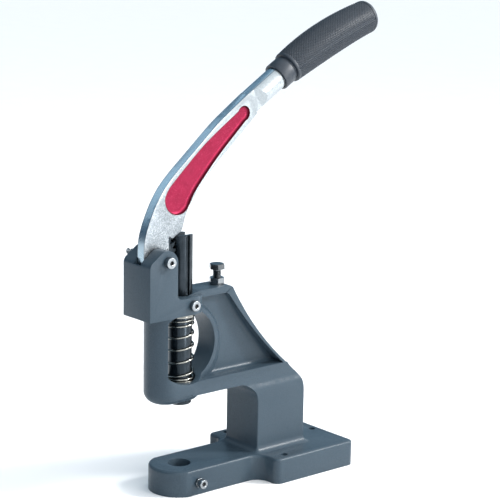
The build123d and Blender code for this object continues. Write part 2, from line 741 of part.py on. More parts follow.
PIECES = (
    frame_casting,
    ram,
    snap_ring,
    spring_washer,
    spring_seat,
    return_spring,
    ram_guide_screw,
    lever,
    sector_gear,
    sector_pins,
    lever_bush,
    hub_washers,
    handle_grip,
    pivot_bolt,
    pivot_washer,
    pivot_nut,
    stop_bolt,
    stop_lock_nut,
    anvil_clamp_screw,
    anvil_clamp_nut,
)

os.makedirs("parts", exist_ok=True)
for make in PIECES:
    made = make()
    solids = made if isinstance(made, list) else made.solids()
    shape = solids[0] if len(solids) == 1 else Compound(children=list(solids))
    shape.label = make.__name__
    export_step(shape, f"parts/{make.__name__}.step")
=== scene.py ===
import json
import math

import bmesh
import bpy
import numpy as np
from mathutils import Matrix, Vector


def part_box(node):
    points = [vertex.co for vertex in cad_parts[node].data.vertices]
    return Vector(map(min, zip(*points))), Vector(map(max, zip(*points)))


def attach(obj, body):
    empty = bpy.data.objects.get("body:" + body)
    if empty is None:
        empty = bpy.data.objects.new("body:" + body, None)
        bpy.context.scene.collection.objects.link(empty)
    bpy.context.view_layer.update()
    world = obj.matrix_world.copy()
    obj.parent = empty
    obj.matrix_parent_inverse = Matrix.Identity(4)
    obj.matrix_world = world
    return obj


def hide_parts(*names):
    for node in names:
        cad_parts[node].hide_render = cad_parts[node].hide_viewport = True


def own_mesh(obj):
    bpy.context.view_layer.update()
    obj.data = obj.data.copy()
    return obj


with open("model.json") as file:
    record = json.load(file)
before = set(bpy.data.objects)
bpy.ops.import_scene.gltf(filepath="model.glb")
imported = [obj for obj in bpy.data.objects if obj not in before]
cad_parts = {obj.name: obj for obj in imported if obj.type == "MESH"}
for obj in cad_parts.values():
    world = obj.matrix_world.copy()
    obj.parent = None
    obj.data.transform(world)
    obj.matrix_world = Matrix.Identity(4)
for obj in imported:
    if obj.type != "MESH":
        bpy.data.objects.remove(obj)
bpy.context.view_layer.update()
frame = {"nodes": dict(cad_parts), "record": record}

# A bench hand press. Sizes are in millimetres here and become metres in make_mesh().
# +X is the operator's right, -Y the front, +Z up; the origin is under the ram, at the base's underside.
MM = 0.001
RIGHT = (1, 0, 0)
UP = (0, 0, 1)
JOINTS = {joint["name"]: joint for joint in frame["record"]["behaviour"]["joints"]}
PIVOT_Y, PIVOT_Z = (1000 * c for c in JOINTS["lever_swing"]["pos_m"][1:])


def span(node, axis):
    """Lowest and highest coordinate of a CAD node along an axis (0, 1 or 2), in millimetres."""
    low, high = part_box(node)
    return 1000 * low[axis], 1000 * high[axis]


def middle(node, axis):
    """Coordinate of a CAD node's middle along an axis, in millimetres."""
    return sum(span(node, axis)) / 2


# Mesh building

COUNT = 72          # points round each turned piece
THREAD_STEPS = 8    # loops in each pitch of a thread


def make_mesh(name, points, faces, material, body, sharp=32.0):
    """A piece from points in millimetres; edges sharper than the given angle, in degrees, stay crisp."""
    mesh = bpy.data.meshes.new(name)
    mesh.from_pydata((np.array(points) * MM).tolist(), [], faces)
    mesh.materials.append(material)
    obj = bpy.data.objects.new(name, mesh)
    bpy.context.scene.collection.objects.link(obj)
    face_outwards(mesh)
    mesh.shade_smooth()
    mesh.set_sharp_from_angle(angle=math.radians(sharp))
    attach(obj, body)
    return obj


def face_outwards(mesh):
    """Turns all faces of a mesh outwards."""
    bm = bmesh.new()
    bm.from_mesh(mesh)
    bmesh.ops.recalc_face_normals(bm, faces=bm.faces)
    bm.to_mesh(mesh)
    bm.free()


def bridge(loops, closed=False, caps=True):
    """Points and faces of a surface through loops that all have the same number of points."""
    count = len(loops[0])
    rows = len(loops)
    points = [tuple(p) for loop in loops for p in loop]
    faces = []
    for i in range(rows if closed else rows - 1):
        a = i * count
        b = (i + 1) % rows * count
        for j in range(count):
            k = (j + 1) % count
            faces.append((a + j, a + k, b + k, b + j))
    if caps and not closed:
        for first in (0, (rows - 1) * count):
            centre = np.mean(points[first:first + count], axis=0)
            points.append(tuple(centre))
            tip = len(points) - 1
            faces += [(first + j, first + (j + 1) % count, tip) for j in range(count)]
    return points, faces


class Axis:
    """A line that loops of points are turned about; every loop starts on the same side of it."""

    def __init__(self, origin, along, start):
        self.origin = np.array(origin, float)
        self.along = np.array(along, float) / np.linalg.norm(along)
        side = np.array(start, float)
        side -= self.along * side.dot(self.along)
        self.side = side / np.linalg.norm(side)
        self.other = np.cross(self.along, self.side)

    def loop(self, radii, heights, count=COUNT):
        """Points round the line; radii and heights are single values or one for each point."""
        angles = np.arange(count) * 2 * math.pi / count
        out = np.outer(np.cos(angles), self.side) + np.outer(np.sin(angles), self.other)
        radii = np.broadcast_to(radii, count)[:, None]
        heights = np.broadcast_to(heights, count)[:, None]
        return self.origin + self.along * heights + out * radii

    def loops(self, profile):
        """One loop for each (radius, height) of a profile."""
        return [self.loop(radius, height) for radius, height in profile]


def hex_radii(across_flats):
    """Distance to a hexagon's edge at each point of a loop."""
    angles = np.arange(COUNT) * 2 * math.pi / COUNT
    within = np.mod(angles + math.pi / 6, math.pi / 3) - math.pi / 6
    return across_flats / 2 / np.cos(within)


def thread_loops(axis, radius, pitch, low, high, fade_low=True):
    """Loops of a threaded stretch; it fades out over its last pitch, and over its first with fade_low."""
    depth = 0.58 * pitch
    rows = int((high - low) / pitch * THREAD_STEPS)
    angles = np.arange(COUNT) / COUNT
    loops = []
    for i in range(rows + 1):
        h = low + (high - low) * i / rows
        phase = np.mod(h / pitch - angles, 1.0)
        # 0 on the flat crest, 1 in the flat root
        wave = np.clip(np.abs(2 * phase - 1) * 1.25 - 0.12, 0, 1)
        strength = min(1.0, (high - h) / pitch)
        if fade_low:
            strength = min(strength, (h - low) / pitch)
        loops.append(axis.loop(radius - depth * wave * strength, h))
    return loops


def socket_loops(axis, top, across_flats, depth):
    """A hexagon socket: its mouth chamfer, walls and conical floor, going inwards from a flat top."""
    hexagon = hex_radii(across_flats)
    mouth = across_flats / 2 / math.cos(math.pi / 6) + 0.12
    return axis.loops([
        (mouth, top),
        (np.minimum(hexagon, mouth), top - 0.22),
        (hexagon, top - 0.5),
        (hexagon, top - depth + 0.1),
        (hexagon * 0.93, top - depth),
        (0.2, top - depth - 0.35 * across_flats / 2),
    ])


def socket_screw(name, axis, point, thread, shank, head, socket):
    """Zinc-plated cap screw with painted shade in its socket.

    point and shank are the (radius, height) profiles before and after the thread, thread is its
    (radius, low, high, pitch), head its (radius, low, high, edge radius), socket its (across flats, depth).
    """
    thread_r, thread_low, thread_high, pitch = thread
    head_r, bottom, top, edge = head
    chamfer = 0.25
    edge_steps = 5
    loops = axis.loops(point)
    loops += thread_loops(axis, thread_r, pitch, thread_low, thread_high, fade_low=False)
    loops += axis.loops(shank)
    loops += axis.loops([(head_r - chamfer, bottom), (head_r, bottom + chamfer)])
    for k in range(edge_steps + 1):
        a = math.pi / 2 * k / edge_steps
        loops.append(axis.loop(head_r - edge + edge * math.cos(a), top - edge + edge * math.sin(a)))
    walls_from = (len(loops) + 1) * COUNT
    loops += socket_loops(axis, top, *socket)
    points, faces = bridge(loops)
    obj = make_mesh(name, points, faces, ZINC, "frame")
    obj.data.materials.append(SOCKET_SHADE)
    # the socket's faces get a dark colour that paints in the shade of the recess
    for face in obj.data.polygons:
        face.material_index = int(min(face.vertices) >= walls_from)
    return obj


def hex_nut(name, material, axis, low, high, across_flats, bore, pitch, washer_face=False):
    """Nut with chamfered corners and a threaded bore, and with a round face under it if asked."""
    flat = across_flats / 2
    corner = flat * 1.005
    chamfer_angle = math.radians(30)
    hexagon = hex_radii(across_flats)
    rounded = np.minimum(hexagon, corner)
    drop = np.maximum(hexagon - corner, 0) * math.tan(chamfer_angle)
    mouth = bore + 0.45
    if washer_face:
        face_r = flat - 0.2
        foot = [(face_r, low), (face_r, low + 0.3), (hexagon - 0.15, low + 0.3), (hexagon, low + 0.45)]
    else:
        foot = [(rounded, low), (hexagon, low + drop)]
    loops = axis.loops(foot)
    loops += axis.loops([
        (hexagon, high - drop - 0.08),
        (hexagon - 0.08, high - drop),
        (rounded - 0.1, high),
        (mouth, high),
    ])
    loops += thread_loops(axis, bore, pitch, low + 0.05, high - 0.45)[::-1]
    loops += axis.loops([(mouth, low)])
    points, faces = bridge(loops, closed=True)
    return make_mesh(name, points, faces, material, "frame")


def ring(name, axis, low, high, inner_r, outer_r):
    """Zinc-plated washer with small chamfers."""
    edge = 0.2
    loops = axis.loops([
        (inner_r, low + edge), (inner_r, high - edge), (inner_r + edge, high), (outer_r - edge, high),
        (outer_r, high - edge), (outer_r, low + edge), (outer_r - edge, low), (inner_r + edge, low),
    ])
    points, faces = bridge(loops, closed=True)
    return make_mesh(name, points, faces, ZINC, "frame")


# Materials

def set_stops(color_ramp, stops):
    """Gives a colour ramp its (place, colour or grey) stops."""
    elements = color_ramp.elements
    while len(elements) < len(stops):
        elements.new(0.5)
    for element, (at, value) in zip(elements, stops):
        element.position = at
        colour = value if isinstance(value, tuple) else (value,) * 3
        element.color = (*colour, 1)


class Nodes:
    """Short way to write a material's node tree."""

    def __init__(self, name):
        self.material = bpy.data.materials.new(name)
        self.material.use_nodes = True
        self.tree = self.material.node_tree
        self.shader = self.tree.nodes["Principled BSDF"]
        self.place = self.tree.nodes.new("ShaderNodeTexCoord").outputs["Object"]

    def node(self, kind, inputs=None, **settings):
        n = self.tree.nodes.new(kind)
        for key, value in settings.items():
            setattr(n, key, value)
        for key, value in (inputs or {}).items():
            self.put(n.inputs[key], value)
        return n

    def put(self, socket, value):
        if isinstance(value, bpy.types.NodeSocket):
            self.tree.links.new(value, socket)
        else:
            socket.default_value = value

    def coordinate(self, axis):
        """Place along X, Y or Z, in metres."""
        return self.node("ShaderNodeSeparateXYZ", {"Vector": self.place}).outputs[axis]

    def off_centre(self):
        """Distance from the press's middle plane, in metres."""
        return self.math("ABSOLUTE", self.coordinate("X"))

    def noise(self, size_mm, detail=3.0, rough=0.55, stretch=(1, 1, 1)):
        """Noise with cells about size_mm across."""
        scaled = self.node("ShaderNodeMapping", {"Vector": self.place, "Scale": stretch})
        n = self.node("ShaderNodeTexNoise", {
            "Vector": scaled.outputs[0], "Scale": 1000 / size_mm, "Detail": detail, "Roughness": rough,
        })
        return n.outputs["Fac"]

    def flakes(self, size_mm):
        """A grey of its own for each cell about size_mm across."""
        n = self.node("ShaderNodeTexVoronoi", {"Vector": self.place, "Scale": 1000 / size_mm})
        return self.node("ShaderNodeSeparateColor", {"Color": n.outputs["Color"]}).outputs[0]

    def fade(self, value, low, high, at_low=0.0, at_high=1.0):
        """Goes from at_low to at_high as value goes from low to high."""
        n = self.node("ShaderNodeMapRange", {
            "Value": value, "From Min": low, "From Max": high, "To Min": at_low, "To Max": at_high,
        })
        return n.outputs[0]

    def ramp(self, fac, stops):
        n = self.node("ShaderNodeValToRGB", {"Fac": fac})
        set_stops(n.color_ramp, stops)
        return n.outputs["Color"]

    def mix(self, fac, a, b, kind="MIX"):
        n = self.node("ShaderNodeMix", data_type="RGBA", blend_type=kind)
        self.put(n.inputs[0], fac)
        self.put(n.inputs[6], a)
        self.put(n.inputs[7], b)
        return n.outputs[2]

    def math(self, kind, a, b=0.0):
        n = self.node("ShaderNodeMath", operation=kind)
        self.put(n.inputs[0], a)
        self.put(n.inputs[1], b)
        return n.outputs[0]

    def bump(self, height, distance_mm, strength=1.0, under=None):
        n = self.node("ShaderNodeBump", {
            "Height": height, "Distance": distance_mm * MM, "Strength": strength,
        })
        if under is not None:
            self.put(n.inputs["Normal"], under)
        return n.outputs["Normal"]

    def finish(self, **sockets):
        """Fills the shader's sockets; an underscore in a keyword stands for a space."""
        for key, value in sockets.items():
            self.put(self.shader.inputs[key.replace("_", " ")], value)
        return self.material


def enamel():
    """Grey-blue machine enamel over a sand casting: pebbled, with its hollows darkened by painted shade."""
    m = Nodes("enamel")
    pebble = m.noise(1.1, detail=2.0, rough=0.5)
    grain = m.noise(0.45, detail=2.0)
    cloud = m.noise(55, detail=2.0)
    base = m.ramp(cloud, [(0.3, (0.034, 0.053, 0.071)), (0.7, (0.038, 0.058, 0.076))])
    # painted shade: the colour darkens where the pebble bump is low, in its hollows
    hollow_painted_shade = m.ramp(pebble, [(0.35, 0.90), (0.65, 1.06)])
    colour = m.mix(1.0, base, hollow_painted_shade, "MULTIPLY")
    rough = m.ramp(grain, [(0.3, 0.25), (0.7, 0.37)])
    coarse = m.bump(pebble, 0.20, 0.7)
    fine = m.bump(grain, 0.06, 0.6, under=coarse)
    return m.finish(Base_Color=colour, Roughness=rough, Metallic=0.0, Normal=fine, Specular_IOR_Level=0.22)


def lever_plating():
    """Zinc plate on the lever: smooth edges painted with a bluish reflection, bevels painted dark as a
    reflection, and sides with a grain that fades upwards.
    """
    m = Nodes("lever_plating")
    off_centre = m.off_centre()
    side = m.fade(off_centre, 4.6 * MM, 4.97 * MM)
    grain = m.math("MULTIPLY", side, m.fade(m.coordinate("Z"), 0.265, 0.330, 1.0, 0.35))
    speck = m.flakes(0.8)
    cloud = m.noise(14, detail=4.0)
    grain_tone = m.ramp(speck, [
        (0.0, (0.17, 0.19, 0.21)), (0.5, (0.25, 0.28, 0.30)), (1.0, (0.42, 0.45, 0.47)),
    ])
    # painted reflection: the edge faces get a bluish tone standing in for the blue surroundings they
    # reflect
    edge_painted_reflection = m.ramp(cloud, [(0.3, (0.42, 0.53, 0.60)), (0.7, (0.47, 0.58, 0.65))])
    side_tone = m.ramp(cloud, [(0.3, (0.40, 0.44, 0.46)), (0.7, (0.50, 0.54, 0.56))])
    base = m.mix(grain, m.mix(side, edge_painted_reflection, side_tone), grain_tone)
    # painted reflection: a dark band on the bevels between the sides and the edges
    near_edge = m.fade(off_centre, 4.2 * MM, 4.5 * MM)
    flat = m.fade(off_centre, 4.93 * MM, 4.99 * MM)
    corner = m.math("MULTIPLY", near_edge, m.math("SUBTRACT", 1.0, flat))
    base = m.mix(m.math("MULTIPLY", corner, 0.8), base, (0.08, 0.10, 0.12, 1.0))
    smooth_gloss = m.ramp(cloud, [(0.3, 0.26), (0.7, 0.29)])
    grain_gloss = m.ramp(speck, [(0.0, 0.34), (1.0, 0.46)])
    gloss = m.mix(grain, smooth_gloss, grain_gloss)
    pits = m.math("MULTIPLY", m.noise(0.9, detail=3.0), grain)
    return m.finish(Base_Color=base, Metallic=1.0, Roughness=gloss, Normal=m.bump(pits, 0.10, 0.7))


def zinc(name, tone):
    """Zinc on screws and nuts, slightly clouded; tone scales its brightness, and the lower tones make
    shaded copies that paint in darker reflections.
    """
    m = Nodes(name)
    cloud = m.noise(4, detail=2.0)
    dull = tuple(c * tone for c in (0.42, 0.46, 0.49))
    bright = tuple(c * tone for c in (0.50, 0.535, 0.56))
    base = m.ramp(cloud, [(0.3, dull), (0.7, bright)])
    gloss = m.ramp(m.noise(0.8, detail=2.0), [(0.3, 0.16), (0.7, 0.24)])
    bump = m.bump(m.noise(0.7, detail=3.0), 0.02, 0.5)
    return m.finish(Base_Color=base, Metallic=1.0, Roughness=gloss, Normal=bump)


def socket_painted_shade():
    """Painted shade inside a screw's socket: a dark colour standing in for the shade in the recess."""
    m = Nodes("socket_painted_shade")
    base = m.ramp(m.noise(1.2, detail=3.0), [(0.3, (0.012, 0.014, 0.017)), (0.7, (0.035, 0.04, 0.045))])
    bump = m.bump(m.noise(0.5), 0.02, 0.5)
    return m.finish(Base_Color=base, Roughness=0.45, Metallic=0.0, Normal=bump, Specular_IOR_Level=0.5)


def red_paint():
    """Crimson metallic paint in the lever's recesses, with painted shade that darkens their walls."""
    m = Nodes("recess_paint")
    base = m.ramp(m.flakes(0.45), [
        (0.0, (0.20, 0.008, 0.032)), (0.85, (0.25, 0.013, 0.045)), (1.0, (0.40, 0.05, 0.11)),
    ])
    tint = m.ramp(m.noise(9, detail=2.0), [(0.3, 0.92), (0.7, 1.05)])
    base = m.mix(1.0, base, tint, "MULTIPLY")
    # painted shade: the recess walls are darkened towards a deep crimson, standing in for the shade that
    # falls on them
    wall = m.fade(m.off_centre(), 2.15 * MM, 3.0 * MM)
    base = m.mix(wall, base, (0.10, 0.004, 0.016, 1))
    bump = m.bump(m.noise(0.7, detail=2.0), 0.04, 0.6)
    return m.finish(Base_Color=base, Metallic=0.85, Roughness=0.42, Normal=bump)


def rubber():
    """Black rubber, a little dusty."""
    m = Nodes("grip_rubber")
    dust = m.noise(3.0, detail=4.0)
    grain = m.noise(0.35, detail=2.0)
    base = m.ramp(dust, [(0.3, (0.013, 0.019, 0.028)), (0.7, (0.019, 0.027, 0.038))])
    rough = m.ramp(grain, [(0.3, 0.38), (0.7, 0.52)])
    bump = m.bump(grain, 0.03, 0.5)
    return m.finish(Base_Color=base, Metallic=0.0, Roughness=rough, Normal=bump, Specular_IOR_Level=0.45)


def dark_steel():
    """Blued and oiled steel with drawing lines along the bar."""
    m = Nodes("dark_steel")
    lines = m.noise(0.5, detail=3.0, stretch=(1, 1, 0.02))
    cloud = m.noise(12, detail=3.0)
    base = m.ramp(cloud, [(0.3, (0.024, 0.031, 0.037)), (0.7, (0.040, 0.049, 0.058))])
    base = m.mix(1.0, base, m.ramp(lines, [(0.3, 0.85), (0.7, 1.15)]), "MULTIPLY")
    rough = m.ramp(lines, [(0.3, 0.20), (0.7, 0.34)])
    bump = m.bump(lines, 0.02, 0.5)
    return m.finish(Base_Color=base, Metallic=1.0, Roughness=rough, Normal=bump)


def spring_wire():
    """Bright drawn wire, used for the ring and washers beside the spring too."""
    m = Nodes("spring_wire")
    streak = m.noise(0.6, detail=3.0)
    base = m.ramp(streak, [(0.3, (0.22, 0.22, 0.20)), (0.7, (0.34, 0.335, 0.31))])
    return m.finish(Base_Color=base, Metallic=1.0, Roughness=0.2, Normal=m.bump(streak, 0.02, 0.4))


def bronze():
    """Bronze, slightly tarnished."""
    m = Nodes("bronze")
    cloud = m.noise(2.5, detail=4.0)
    base = m.ramp(cloud, [(0.3, (0.42, 0.26, 0.10)), (0.7, (0.60, 0.40, 0.18))])
    rough = m.ramp(m.noise(0.5), [(0.3, 0.3), (0.7, 0.5)])
    return m.finish(Base_Color=base, Metallic=1.0, Roughness=rough, Normal=m.bump(cloud, 0.02, 0.4))


def floor_paint():
    """Matt off-white, faintly clouded."""
    m = Nodes("floor_paint")
    white = (0.96, 0.94, 0.93)
    cloud = m.noise(60, detail=2.0)
    base = m.ramp(cloud, [(0.3, tuple(c * 0.985 for c in white)), (0.7, white)])
    return m.finish(Base_Color=base, Roughness=0.8, Specular_IOR_Level=0.2)


ENAMEL = enamel()
PLATING = lever_plating()
ZINC = zinc("zinc_screws", 0.62)
# the stop bolt and its nut use darker copies of the same zinc, painted darker to stand in for the darker
# reflections they show
STOP_BOLT_PAINTED_DARK_ZINC = zinc("zinc_stop_bolt", 0.22)
STOP_NUT_PAINTED_DIM_ZINC = zinc("zinc_stop_nut", 0.45)
SOCKET_SHADE = socket_painted_shade()
RED = red_paint()
RUBBER = rubber()
STEEL = dark_steel()
SPRING = spring_wire()
BRONZE = bronze()


# CAD nodes that show as they are

def dress(node, material, bevel_mm=0.0, segments=2):
    """Gives a CAD node its material, and rounds its sharp edges."""
    obj = frame["nodes"][node]
    for s in obj.material_slots:
        s.material = material
    weld = obj.modifiers.new("weld", "WELD")
    weld.merge_threshold = 0.002 * MM
    if bevel_mm:
        flat = obj.modifiers.new("flat", "DECIMATE")
        flat.decimate_type = "DISSOLVE"
        flat.angle_limit = math.radians(0.6)
        bevel = obj.modifiers.new("bevel", "BEVEL")
        bevel.width = bevel_mm * MM
        bevel.segments = segments
        bevel.limit_method = "ANGLE"
        bevel.angle_limit = math.radians(30)
    obj.data.shade_smooth()


dress("frame_casting", ENAMEL, 1.6, 3)
dress("ram", STEEL, 0.25)
dress("sector_gear", STEEL, 0.2)
dress("lever", PLATING, 0.6, 3)
dress("lever_bush", BRONZE)
dress("hub_washers", BRONZE)
dress("sector_pins", ZINC)
dress("snap_ring", SPRING, 0.15)
dress("spring_washer", SPRING, 0.15)
dress("spring_seat", SPRING, 0.15)


# Return spring: right-handed, with closed end coils that lie flat on the seat and under the washer

WIRE_R = 1.0
COIL_R = 12.2
END_COIL_RISE = 2.1
FREE_COIL_RISES = (16.0, 28.2, 39.8, 51.3)
STEPS_PER_COIL = 56
WIRE_POINTS = 14


def return_spring():
    low, high = span("return_spring", 2)
    bottom = low + WIRE_R
    top = high - WIRE_R
    heights = [bottom, bottom + END_COIL_RISE]
    heights += [low + rise for rise in FREE_COIL_RISES]
    heights += [top - END_COIL_RISE, top]
    turns = np.arange(len(heights))
    up = np.array([0, 0, 1.0])
    loops = []
    for i in range(turns[-1] * STEPS_PER_COIL + 1):
        turned = i / STEPS_PER_COIL
        a = 2 * math.pi * turned - math.pi / 2
        out = np.array([math.cos(a), math.sin(a), 0.0])
        centre = out * COIL_R + up * np.interp(turned, turns, heights)
        loops.append([
            centre + (out * math.cos(b) + up * math.sin(b)) * WIRE_R
            for b in np.arange(WIRE_POINTS) * 2 * math.pi / WIRE_POINTS
        ])
    points, faces = bridge(loops)
    obj = make_mesh("return_spring_wire", points, faces, SPRING, "frame", sharp=50)
    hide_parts("return_spring")
    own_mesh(obj)


return_spring()


# Screws and nuts

GUIDE_HEAD_HEIGHT = 4.6
CHEEK_X = span("ram_guide_screw", 0)[1] - GUIDE_HEAD_HEIGHT    # where the guide and pivot screws' heads sit


def pivot_pieces():
    """Shoulder screw through the ears, its nut and its washer."""
    low, high = span("pivot_bolt", 0)
    shoulder = -CHEEK_X - 1.5
    obj = socket_screw(
        "pivot_screw", Axis((0, PIVOT_Y, PIVOT_Z), RIGHT, (0, 0.25, 1)),
        point=[(2.4, low), (3.0, low + 0.6)],
        thread=(3.0, low + 0.6, shoulder, 1.0),
        shank=[(4.0, shoulder), (4.0, CHEEK_X)],
        head=(5.2, CHEEK_X, high, 0.6),
        socket=(4.0, 2.9),
    )
    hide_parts("pivot_bolt")
    axis = Axis((0, PIVOT_Y, PIVOT_Z), RIGHT, UP)
    low, high = span("pivot_nut", 0)
    nut = hex_nut("pivot_lock_nut", ZINC, axis, low, high, across_flats=10.0, bore=3.02, pitch=1.0)
    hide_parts("pivot_nut")
    low, high = span("pivot_washer", 0)
    washer = ring("pivot_flat_washer", axis, low, high, inner_r=3.1, outer_r=6.0)
    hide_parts("pivot_washer")


def guide_screw():
    """Screw whose plain point runs in the ram's keyway."""
    low, high = span("ram_guide_screw", 0)
    obj = socket_screw(
        "ram_keying_screw", Axis((0, 0, middle("ram_guide_screw", 2)), RIGHT, (0, 0.3, 1)),
        point=[(1.6, low), (1.95, low + 0.4), (1.95, low + 2.0), (3.0, low + 2.1)],
        thread=(3.0, low + 2.1, CHEEK_X, 1.0),
        shank=[],
        head=(5.0, CHEEK_X, high, 1.0),
        socket=(4.0, 2.6),
    )
    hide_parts("ram_guide_screw")


def clamp_pieces():
    """Screw in the tongue's side that holds a die in the anvil bore, and its lock nut."""
    place = (0, middle("anvil_clamp_screw", 1), middle("anvil_clamp_screw", 2))
    low, high = span("anvil_clamp_screw", 0)
    head_low = high - 5.0
    obj = socket_screw(
        "anvil_set_screw", Axis(place, RIGHT, (0, 0.5, 1)),
        point=[(2.0, low), (2.5, low + 0.5)],
        thread=(2.5, low + 0.5, head_low, 0.8),
        shank=[],
        head=(4.25, head_low, high, 0.5),
        socket=(4.0, 2.6),
    )
    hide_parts("anvil_clamp_screw")
    axis = Axis(place, RIGHT, UP)
    low, high = span("anvil_clamp_nut", 0)
    nut = hex_nut("anvil_lock_nut", ZINC, axis, low, high, across_flats=8.0, bore=2.52, pitch=0.8)
    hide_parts("anvil_clamp_nut")


STOP_FLATS = 13.0
STOP_PITCH = 1.25
STOP_HEAD_HEIGHT = 5.3


def stop_bolt(axis):
    """Hexagon bolt that the lever meets at the end of its swing."""
    low, high = span("stop_bolt", 2)
    head = high - STOP_HEAD_HEIGHT
    hexagon = hex_radii(STOP_FLATS)
    crown = 6.3
    chamfer_angle = math.radians(24)
    drop = np.maximum(hexagon - crown, 0) * math.tan(chamfer_angle)
    loops = axis.loops([(3.2, low), (4.0, low + 0.8)])
    loops += thread_loops(axis, 4.0, STOP_PITCH, low + 0.8, head - 0.6, fade_low=False)
    loops += axis.loops([
        (4.0, head - 0.3),
        (4.3, head),
        (5.9, head),
        (5.9, head + 0.3),
        (hexagon - 0.2, head + 0.3),
        (hexagon, head + 0.5),
        (hexagon, high - drop - 0.25),
        (hexagon - 0.15, high - drop - 0.05),
        (crown - 0.3, high),
        (crown - 0.8, high),
    ])
    points, faces = bridge(loops)
    obj = make_mesh("lever_stop_bolt", points, faces, STOP_BOLT_PAINTED_DARK_ZINC, "frame")
    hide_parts("stop_bolt")


def stop_nut(axis):
    """Lock nut on the stop bolt, below its head."""
    low, high = span("stop_lock_nut", 2)
    nut = hex_nut(
        "stop_bolt_lock_nut", STOP_NUT_PAINTED_DIM_ZINC, axis, low, high,
        across_flats=STOP_FLATS, bore=4.02, pitch=STOP_PITCH, washer_face=True,
    )
    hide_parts("stop_lock_nut")


pivot_pieces()
guide_screw()
clamp_pieces()
STOP_AXIS = Axis((0, middle("stop_bolt", 1), 0), UP, RIGHT)
stop_bolt(STOP_AXIS)
stop_nut(STOP_AXIS)


# Red paint in the lever's recesses

RECESS_FLOOR_X = 1.8


def floor_loop(node, x):
    """Outline, as (y, z) points in order, of the flat floor that a CAD node has at a height x."""
    mesh = frame["nodes"][node].data
    points = [1000 * v.co for v in mesh.vertices]
    on_floor = [abs(p.x - x) < 0.01 for p in points]
    after = {}
    for face in mesh.polygons:
        inside = [i for i in face.vertices if on_floor[i]]
        if len(inside) != 2:
            continue
        a, b = (tuple(round(c, 3) for c in points[i].yz) for i in inside)
        after.setdefault(a, set()).add(b)
        after.setdefault(b, set()).add(a)
    start = min(after)
    loop = [start]
    before, here = None, start
    while True:
        step = next((n for n in sorted(after[here]) if n != before and n != here), None)
        if step is None or step == start:
            return np.array(loop)
        loop.append(step)
        before, here = here, step


def even_loop(loop, spacing):
    """The same closed outline with evenly spaced points, running anticlockwise."""
    closed = np.vstack([loop, loop[:1]])
    gaps = np.linalg.norm(np.diff(closed, axis=0), axis=1)
    along = np.concatenate([[0], np.cumsum(gaps)])
    count = int(along[-1] / spacing)
    places = np.arange(count) * along[-1] / count
    even = np.column_stack([np.interp(places, along, closed[:, k]) for k in (0, 1)])
    turned = np.roll(even, -1, axis=0)
    area = np.sum(even[:, 0] * turned[:, 1] - turned[:, 0] * even[:, 1])
    return even if area > 0 else even[::-1]


def inset(loop, distance):
    """An anticlockwise outline moved inwards."""
    tangent = np.roll(loop, -2, axis=0) - np.roll(loop, 2, axis=0)
    tangent /= np.linalg.norm(tangent, axis=1)[:, None]
    return loop + distance * np.column_stack([-tangent[:, 1], tangent[:, 0]])


def recess_paint(name, side):
    """A coat on the walls and the floor of one recess, thicker in the corner between them."""
    outline = even_loop(floor_loop("lever", side * RECESS_FLOOR_X), 1.0)
    # (distance from the wall, height): from the coat's hidden back over its rim and down to the floor
    profile = [
        (0.03, RECESS_FLOOR_X + 0.02), (0.03, 4.55), (0.16, 4.5), (0.30, 4.1), (0.55, 3.5), (0.95, 2.95),
        (1.5, 2.5), (2.2, 2.2), (3.1, 2.03), (4.2, 1.98),
    ]
    loops = []
    for distance, x in profile:
        loops.append([(side * x, y, z) for y, z in inset(outline, distance)])
    points, faces = bridge(loops, caps=False)
    count = len(outline)
    faces.append(tuple(range(count)))
    faces.append(tuple(range(len(points) - count, len(points))))
    make_mesh(name, points, faces, RED, "lever", sharp=60)


recess_paint("recess_paint_right", 1)
recess_paint("recess_paint_left", -1)


# Rubber grip: smooth collar, groove, knurled body with a seam on each side, plain rim.
# A share is a place along its length: 0 at the collar's end, 1 at the rim's.

GRIP_LENGTH = 126.73
GRIP_RISE = math.atan2(51.7, 115.7)
GRIP_BEND = math.radians(8)
GRIP_LOW = (span("handle_grip", 1)[0], span("handle_grip", 2)[0])
COLLAR_R = 13.5
COLLAR_FACE_R = COLLAR_R - 0.02
GROOVE_R = 12.85
BORE_R = 11.02
RIM_R = 15.8
RIM_EDGE_R = 3.5
BODY_FROM = 0.122
KNURL_FROM = BODY_FROM + 0.016
KNURL_TO = 0.958
KNURL_DEPTH = 0.62
KNURL_AROUND = 44
KNURL_ALONG = 46
STEPS_PER_DIAMOND = 6
GRIP_POINTS = KNURL_AROUND * STEPS_PER_DIAMOND
SEAM_HALF_WIDTH = 0.7
SEAM_DEPTH = 0.75
SEAM_LIP_REACH = 1.1
SEAM_LIP_DEPTH = 0.15
MEAN_GRIP_R = 16.0


def grip_spine(share):
    """Centre and direction, in the YZ plane, at a share of the grip's length along its arc."""
    first = GRIP_RISE + GRIP_BEND
    start = np.array(GRIP_LOW) + COLLAR_R * np.array([math.sin(first), math.cos(first)])
    radius = GRIP_LENGTH / 2 / math.sin(GRIP_BEND)
    turned = first - 2 * GRIP_BEND * share
    centre = start + radius * np.array([math.sin(first), -math.cos(first)])
    point = centre + radius * np.array([-math.sin(turned), math.cos(turned)])
    return point, turned


def grip_loop(share, radii):
    (y, z), angle = grip_spine(share)
    ahead = (0, math.cos(angle), math.sin(angle))
    return Axis((0, y, z), ahead, RIGHT).loop(radii, 0.0, GRIP_POINTS)


def body_r(share):
    """Radius of the body without its knurl; it swells towards its middle."""
    swell = np.polyfit([BODY_FROM, 0.35, 0.65, 1.0], [15.28, 16.98, 17.28, 15.85], 3)
    return np.polyval(swell, share)


